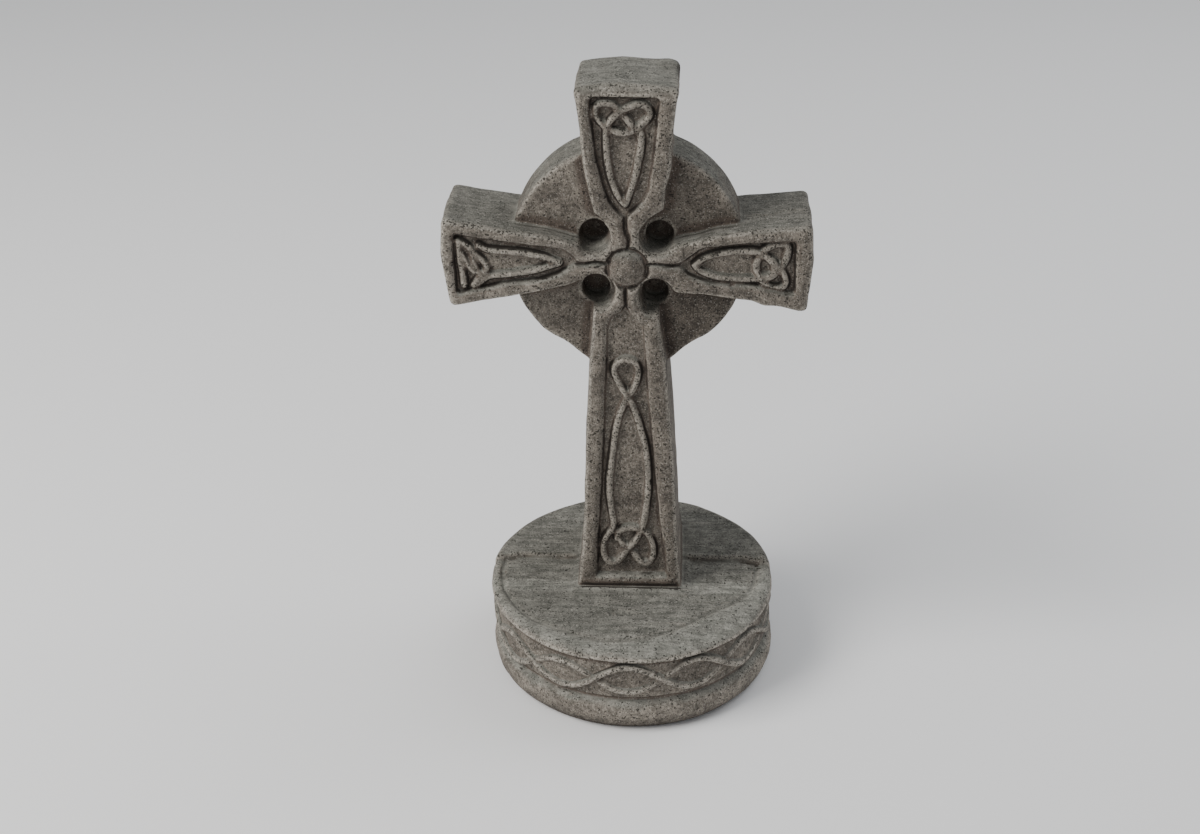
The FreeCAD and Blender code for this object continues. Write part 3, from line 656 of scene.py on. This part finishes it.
def roughened(points, outward):
    """Moves each point along its outward direction by broad waves, fine waves and pits. A pit sits in two cells in
    five of a coarse grid, at a random place, and is a round dent that ends at its own radius. The back has no
    fine waves and no pits, and the foot stays flat."""
    x, y, z = points.T
    move = 0.30 * lattice_noise(x / 15.0, y / 15.0, z / 15.0, 11)
    move += 0.15 * lattice_noise(x / 5.5, y / 5.5, z / 5.5, 12)
    front = ease(22.0, 12.0, y)
    move += 0.08 * front * lattice_noise(x / 2.1, y / 2.1, z / 2.1, 13)
    random = np.random.default_rng(21)
    pit_x, pit_y, pit_z, pit_size = random.uniform(0.0, 1.0, (4, 4096))
    cell = np.floor(points / PIT_GRID).astype(np.int64)
    key = (cell[:, 0] * 73856093 ^ cell[:, 1] * 19349663 ^ cell[:, 2] * 83492791) & 4095
    centre = (cell + 0.2 + 0.6 * np.stack([pit_x[key], pit_y[key], pit_z[key]], -1)) * PIT_GRID
    over = (pit_size[key] - PIT_LEVEL) / (1.0 - PIT_LEVEL)
    size = np.where(over > 0.0, 0.5 + 1.1 * over, 0.0)
    far = np.linalg.norm(points - centre, axis=1) / np.maximum(size, 1e-3)
    move -= front * np.where(size > 0.0, 0.55 * size * np.clip(1.0 - far ** 2, 0.0, 1.0), 0.0)
    move *= ease(0.0, 1.5, z)
    return points + outward * move[:, None]


# Wear, dirt, painted light and painted shade, worked out before the skin is roughened.
worn_and_lit = wear_and_painted_light(points, outward)
points = roughened(points, outward)
points[:, 2] = np.maximum(points[:, 2], 0.0)


def piece_from(name, points, faces):
    """A mesh piece from corners in millimetres and four-sided faces, shaded smooth, in the scene's metres."""
    mesh = bpy.data.meshes.new(name)
    mesh.vertices.add(len(points))
    mesh.vertices.foreach_set("co", (points / 1000.0).astype(np.float32).ravel())
    mesh.loops.add(faces.size)
    mesh.loops.foreach_set("vertex_index", faces.astype(np.int32).ravel())
    mesh.polygons.add(len(faces))
    mesh.polygons.foreach_set("loop_start", np.arange(0, faces.size, 4, dtype=np.int32))
    mesh.polygons.foreach_set("loop_total", np.full(len(faces), 4, np.int32))
    mesh.polygons.foreach_set("use_smooth", np.ones(len(faces), bool))
    mesh.update(calc_edges=True)
    mesh.validate()
    piece = bpy.data.objects.new(name, mesh)
    bpy.context.scene.collection.objects.link(piece)
    return piece


casting = piece_from("ringed_cross_casting", points, faces)
for name, amount in (("hollow_fine", hollow_fine), ("hollow_wide", hollow_wide), ("ridge", ridge), ("wear_and_painted_light", worn_and_lit)):
    layer = casting.data.attributes.new(name, "FLOAT", "POINT")
    layer.data.foreach_set("value", amount.astype(np.float32))

# Faces are thinned most where the weight is high: the back and the underside, then the plain sides, the plinth's
# front, and last the carved front.
plain = casting.vertex_groups.new(name="plain_sides")
carved = (points[:, 1] < -4.5) & (points[:, 2] > 45.0) & (outward[:, 1] < -0.15)
banded = (points[:, 1] < 10.0) & (points[:, 2] < 46.5) & (points[:, 2] > 1.0)
hidden = (points[:, 1] > 24.0) | (points[:, 2] < 0.8)
for chosen, weight in ((hidden, 1.0), (~(hidden | banded | carved), 0.9), (banded & ~carved, 0.75), (carved, 0.3)):
    plain.add(np.nonzero(chosen)[0].tolist(), weight, "REPLACE")
thin = casting.modifiers.new("fewer faces", "DECIMATE")
thin.ratio = min(1.0, MOST_TRIANGLES / (2.0 * len(faces)))
thin.vertex_group = plain.name
thin.vertex_group_factor = 0.00001
thin.use_collapse_triangulate = True
print("skin", len(points), "points", len(faces), "faces")


# ==== The casting's stone.
# Dense grey concrete of fine sand: warm grey, a little pink in the sunk panels, green-grey where it looks up and
# has weathered, with dark pinholes of trapped air, painted shade with some dirt in every groove, and ridges and lit
# places painted paler, partly wear and partly painted light.

DARK_SAND = (0.112, 0.098, 0.083, 1)
PALE_SAND = (0.188, 0.167, 0.141, 1)
# Browner, darker sand for closed-in places: partly the panels' own tone, partly painted shade.
SUNK_BROWN_AND_SHADE = (0.106, 0.085, 0.070, 1)
WEATHERED = (0.160, 0.158, 0.140, 1)
# Pale crest colour for ridges: partly rubbed bare, partly a painted highlight.
CREST_WEAR_AND_HIGHLIGHT = (0.30, 0.275, 0.238, 1)
PALE_GRAIN = (0.42, 0.40, 0.36, 1)
# The next two darken grooves and deep hollows: painted shade, with some dirt.
GROOVE_SHADE_AND_DIRT = (0.030, 0.025, 0.020, 1)
DEEP_SHADE_AND_DIRT = (0.026, 0.021, 0.017, 1)
PINHOLE = (0.018, 0.016, 0.013, 1)
# The two below scale the colour by the wear value: the darker one, where it is -1, stands for painted shade and some
# dirt; the paler one, where it is 1, for wear and painted light.
SHADE_AND_DIRT_TINT = (0.45, 0.42, 0.40, 1)  # the colour is multiplied by this where wear is -1
WEAR_AND_LIGHT_TINT = (1.55, 1.56, 1.55, 1)  # and by this where it is 1


def grey(level):
    """A grey that multiplies the colour under it by the level."""
    return level, level, level, 1


def group(name, inputs, outputs):
    """An empty node group with named inputs (name, value) and outputs (name, kind)."""
    tree = bpy.data.node_groups.new(name, "ShaderNodeTree")
    for label, value in inputs:
        socket = tree.interface.new_socket(label, in_out="INPUT", socket_type="NodeSocketFloat")
        socket.default_value = value
    for label, kind in outputs:
        tree.interface.new_socket(label, in_out="OUTPUT", socket_type=kind)
    return tree


def node(tree, kind, x, y, **settings):
    """A node of this kind at (x, y), with its settings."""
    made = tree.nodes.new(kind)
    made.location = (x, y)
    for key, value in settings.items():
        setattr(made, key, value)
    return made


def math_node(tree, operation, first, second, x, y, third=0.5, clamp=False):
    """One sum on two values or sockets; MULTIPLY_ADD takes a third."""
    made = node(tree, "ShaderNodeMath", x, y, operation=operation, use_clamp=clamp)
    for socket, value in zip(made.inputs, (first, second, third)):
        if isinstance(value, (int, float)):
            socket.default_value = value
        else:
            tree.links.new(value, socket)
    return made.outputs[0]


def mix_colour(tree, amount, first, second, x, y, blend="MIX"):
    """The first colour with the second laid over it by the amount."""
    made = node(tree, "ShaderNodeMix", x, y, data_type="RGBA", blend_type=blend)
    for socket, value in zip((made.inputs[0], made.inputs[6], made.inputs[7]), (amount, first, second)):
        if isinstance(value, (int, float, tuple)):
            socket.default_value = value
        else:
            tree.links.new(value, socket)
    return made.outputs[2]


def ramp(tree, source, low, high, x, y):
    """Goes from 0 where the source is low to 1 where it is high, along a smooth step."""
    made = node(tree, "ShaderNodeMapRange", x, y, interpolation_type="SMOOTHSTEP")
    made.inputs[1].default_value = low
    made.inputs[2].default_value = high
    tree.links.new(source, made.inputs[0])
    return made.outputs[0]


def noise(tree, place, scale, detail, roughness, x, y):
    """Cloudy noise, with scale features in each metre."""
    made = node(tree, "ShaderNodeTexNoise", x, y)
    made.inputs["Scale"].default_value = scale
    made.inputs["Detail"].default_value = detail
    made.inputs["Roughness"].default_value = roughness
    tree.links.new(place, made.inputs["Vector"])
    return made.outputs["Fac"]


sand = group("sand grain", [], [("Tone", "NodeSocketFloat"), ("Pale", "NodeSocketFloat")])
out = node(sand, "NodeGroupOutput", 900, 0)
place = node(sand, "ShaderNodeTexCoord", -900, 0).outputs["Object"]
fine = noise(sand, place, 1500.0, 2.0, 0.6, -600, 200)
coarse = noise(sand, place, 520.0, 3.0, 0.6, -600, -100)
both = math_node(sand, "ADD", math_node(sand, "MULTIPLY", fine, 0.4, -300, 200),
                 math_node(sand, "MULTIPLY", coarse, 0.6, -300, -100), -50, 100)
sand.links.new(ramp(sand, both, 0.37, 0.63, 300, 150), out.inputs["Tone"])
specks = noise(sand, place, 1500.0, 2.0, 0.55, -300, -400)
sand.links.new(ramp(sand, specks, 0.60, 0.68, -50, -400), out.inputs["Pale"])

pinholes = group("pinholes", [("Crowding", 0.0)], [("Mask", "NodeSocketFloat")])
out = node(pinholes, "NodeGroupOutput", 900, 0)
given = node(pinholes, "NodeGroupInput", -900, -300)
place = node(pinholes, "ShaderNodeTexCoord", -1200, 0).outputs["Object"]
dots = []
for scale, level, y in ((1100.0, 0.66, 300), (520.0, 0.70, 0)):
    speck = noise(pinholes, place, scale, 1.0, 0.5, -900, y)
    crowded = math_node(pinholes, "ADD", speck, given.outputs["Crowding"], -650, y)
    dots.append(ramp(pinholes, crowded, level - 0.03, level + 0.03, -400, y))
pinholes.links.new(math_node(pinholes, "MAXIMUM", dots[0], dots[1], 0, 0), out.inputs["Mask"])

weather = group("looks up", [], [("Mask", "NodeSocketFloat")])
out = node(weather, "NodeGroupOutput", 900, 0)
facing = node(weather, "ShaderNodeNewGeometry", -900, 0).outputs["Normal"]
split = node(weather, "ShaderNodeSeparateXYZ", -650, 0)
weather.links.new(facing, split.inputs[0])
place = node(weather, "ShaderNodeTexCoord", -900, -300).outputs["Object"]
cloud = math_node(weather, "MULTIPLY", noise(weather, place, 70.0, 5.0, 0.6, -650, -300), 0.8, -400, -300)
up = math_node(weather, "ADD", split.outputs["Z"], cloud, -150, 0)
weather.links.new(ramp(weather, up, 0.65, 1.25, 200, 0), out.inputs["Mask"])

stone = bpy.data.materials.new("cast concrete")
stone.use_nodes = True
tree = stone.node_tree
tree.nodes.clear()
surface = node(tree, "ShaderNodeOutputMaterial", 2300, 0)
shader = node(tree, "ShaderNodeBsdfPrincipled", 1950, 0)
tree.links.new(shader.outputs[0], surface.inputs[0])
shader.inputs["Roughness"].default_value = 0.9
shader.inputs["Specular IOR Level"].default_value = 0.3
place = node(tree, "ShaderNodeTexCoord", -1500, 0).outputs["Object"]
grain = node(tree, "ShaderNodeGroup", -1200, 500, node_tree=sand)
upward = node(tree, "ShaderNodeGroup", -1200, -100, node_tree=weather)
fine_hollow = node(tree, "ShaderNodeAttribute", -1200, -400, attribute_name="hollow_fine").outputs["Fac"]
wide_hollow = node(tree, "ShaderNodeAttribute", -1200, -600, attribute_name="hollow_wide").outputs["Fac"]
raised = node(tree, "ShaderNodeAttribute", -1200, -800, attribute_name="ridge").outputs["Fac"]
patches = noise(tree, place, 45.0, 6.0, 0.62, -1200, 800)
blotches = noise(tree, place, 160.0, 4.0, 0.6, -1200, 1000)
holes = node(tree, "ShaderNodeGroup", -700, 200, node_tree=pinholes)
crowd = math_node(tree, "ADD", math_node(tree, "MULTIPLY", raised, 0.25, -1000, 200),
                  math_node(tree, "MULTIPLY", patches, 0.14, -1000, 50), -850, 100)
tree.links.new(math_node(tree, "SUBTRACT", crowd, 0.08, -780, 0), holes.inputs["Crowding"])

# Sand in two tones, browner and darker in the hollows, partly their own tone and partly painted shade, and greener
# where it looks up.
warm = mix_colour(tree, ramp(tree, patches, 0.35, 0.65, -900, 800), DARK_SAND, PALE_SAND, -600, 800)
sunk_and_shaded = mix_colour(tree, ramp(tree, wide_hollow, 0.12, 0.45, -900, -600), warm, SUNK_BROWN_AND_SHADE, -300, 600)
green = mix_colour(tree, upward.outputs["Mask"], sunk_and_shaded, WEATHERED, -50, 500)

# Pale along ridges, partly rubbed bare and partly a painted highlight, less so where it looks up, then made paler
# or darker by the wear value: partly wear and dirt, partly painted light and shade.
level_part = math_node(tree, "MULTIPLY", upward.outputs["Mask"], 0.6, -300, -800)
crest_wear_and_highlight = math_node(tree, "MULTIPLY", ramp(tree, raised, 0.015, 0.24, -900, -800),
                  math_node(tree, "SUBTRACT", 1.0, level_part, -150, -800), 0, -800)
crested_and_highlit = mix_colour(tree, crest_wear_and_highlight, green, CREST_WEAR_AND_HIGHLIGHT, 150, 450)
# The wear value makes the colour paler or darker: partly wear and dirt, partly painted light and shade.
wear_and_light = node(tree, "ShaderNodeAttribute", -1200, -1000, attribute_name="wear_and_painted_light").outputs["Fac"]
half_up = math_node(tree, "MULTIPLY_ADD", wear_and_light, 0.5, -300, -1000, third=0.5)
rubbed_and_lit = mix_colour(tree, 1.0, crested_and_highlit, mix_colour(tree, half_up, SHADE_AND_DIRT_TINT, WEAR_AND_LIGHT_TINT, 0, -1000), 300, 450,
                    "MULTIPLY")

# Mottled all over, sandy in the open and streaked where it looks up, with pale grains.
mottle = mix_colour(tree, ramp(tree, blotches, 0.35, 0.65, 0, 1000), grey(0.78), grey(1.15), 250, 900)
mottled = mix_colour(tree, 1.0, rubbed_and_lit, mottle, 400, 500, "MULTIPLY")
closed_in = math_node(tree, "MULTIPLY", ramp(tree, wide_hollow, 0.05, 0.40, 0, -600), 0.7, 250, -600)
smoothed = math_node(tree, "MULTIPLY", upward.outputs["Mask"], 0.45, 250, -750)
sandy = math_node(tree, "SUBTRACT", math_node(tree, "SUBTRACT", 1.0, closed_in, 400, -600), smoothed, 550, -650,
                  clamp=True)
stretched = node(tree, "ShaderNodeMapping", -1350, 1250)
stretched.inputs["Scale"].default_value = (0.13, 1.0, 1.0)
tree.links.new(place, stretched.inputs["Vector"])
streaks = ramp(tree, noise(tree, stretched.outputs[0], 520.0, 3.0, 0.6, -1100, 1250), 0.36, 0.64, -850, 1250)
grains = mix_colour(tree, grain.outputs["Tone"], grey(0.58), grey(1.38), 400, 200)
sanded = mix_colour(tree, sandy, mottled, grains, 650, 450, "MULTIPLY")
lines = mix_colour(tree, streaks, (0.78, 0.79, 0.78, 1), (1.16, 1.15, 1.15, 1), 500, 1250)
streaked = mix_colour(tree, upward.outputs["Mask"], sanded, lines, 750, 450, "MULTIPLY")
few = math_node(tree, "MULTIPLY", grain.outputs["Pale"], 0.5, 650, 700)
sprinkled = mix_colour(tree, few, streaked, PALE_GRAIN, 850, 450)

# Painted shade, with some dirt, in the grooves, darker still deep in the hollows, and dark in the pinholes.
groove_shaded_and_dirty = mix_colour(tree, ramp(tree, fine_hollow, 0.32, 1.1, -900, -400), sprinkled, GROOVE_SHADE_AND_DIRT, 1100, 400)
deep_shaded_and_dirty = mix_colour(tree, ramp(tree, wide_hollow, 0.45, 0.86, 900, -600), groove_shaded_and_dirty, DEEP_SHADE_AND_DIRT, 1300, 350)
pitted = mix_colour(tree, math_node(tree, "MULTIPLY", holes.outputs["Mask"], 0.85, 1300, 150), deep_shaded_and_dirty, PINHOLE,
                    1550, 300)
tree.links.new(pitted, shader.inputs["Base Color"])
height = math_node(tree, "SUBTRACT", math_node(tree, "MULTIPLY", grain.outputs["Tone"], 0.4, 1000, -200),
                   holes.outputs["Mask"], 1300, -200)
bump = node(tree, "ShaderNodeBump", 1650, -200)
bump.inputs["Strength"].default_value = 0.7
bump.inputs["Distance"].default_value = 0.0005
tree.links.new(height, bump.inputs["Height"])
tree.links.new(bump.outputs[0], shader.inputs["Normal"])
casting.data.materials.append(stone)

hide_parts("cross_memorial")
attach(casting, "root")


# ==== Floor, light and camera.
# A plain pale floor, a large soft light high on the left and in front, and a weaker one on the right and behind.
# The camera looks down on the cross from a little to its right.

LIT_MIDDLE = (0.0, 0.0, 0.15)


def soft_light(name, place, size, power, colour):
    """A square lamp at the place, turned to shine on the middle of the cross."""
    lamp = bpy.data.lights.new(name, "AREA")
    lamp.shape, lamp.size, lamp.energy, lamp.color = "SQUARE", size, power, colour
    lit = bpy.data.objects.new(name, lamp)
    bpy.context.scene.collection.objects.link(lit)
    direction = np.array(LIT_MIDDLE) - np.array(place)
    lit.location = place
    lit.rotation_euler = (math.acos(-direction[2] / np.linalg.norm(direction)), 0.0,
                          math.atan2(-direction[0], direction[1]))


bpy.ops.mesh.primitive_plane_add(size=12.0, location=(0.0, 0.0, 0.0))
floor = bpy.context.object
floor.name = "floor"
pale = bpy.data.materials.new("pale floor")
pale.use_nodes = True
paint = pale.node_tree.nodes["Principled BSDF"]
paint.inputs["Base Color"].default_value = grey(0.92)
paint.inputs["Roughness"].default_value = 0.9
floor.data.materials.append(pale)
soft_light("key", (-1.1, -0.55, 1.3), 0.9, 28.0, (1.0, 0.98, 0.95))
soft_light("fill", (1.0, 0.5, 1.3), 1.1, 9.0, (0.95, 0.97, 1.0))
world = bpy.data.worlds.new("studio")
bpy.context.scene.world = world
world.use_nodes = True
sky = world.node_tree.nodes["Background"]
sky.inputs["Color"].default_value = (0.95, 0.97, 1.0, 1)
sky.inputs["Strength"].default_value = 0.40

view = bpy.data.cameras.new("camera")
view.sensor_width = 36.0
view.lens = 52.5
camera = bpy.data.objects.new("camera", view)
bpy.context.scene.collection.objects.link(camera)
bpy.context.scene.camera = camera
camera.location = (0.02538, -0.73277, 0.53573)


def camera_turn(down, turned, tilted):
    """The camera's right, up and backward directions as the columns of a matrix, from how far it looks down, is
    turned to the right and is tilted about its own line of sight."""
    ahead = np.array([math.sin(turned) * math.cos(down), math.cos(turned) * math.cos(down), -math.sin(down)])
    right = np.array([math.cos(turned), -math.sin(turned), 0.0])
    up = np.cross(right, ahead)
    right, up = right * math.cos(tilted) + up * math.sin(tilted), up * math.cos(tilted) - right * math.sin(tilted)
    return np.column_stack([right, up, -ahead])


turn = camera_turn(math.radians(28.69), math.radians(-3.14), math.radians(-0.76))
camera.rotation_euler = (math.atan2(turn[2, 1], turn[2, 2]),
                         math.asin(-turn[2, 0]),
                         math.atan2(turn[1, 0], turn[0, 0]))
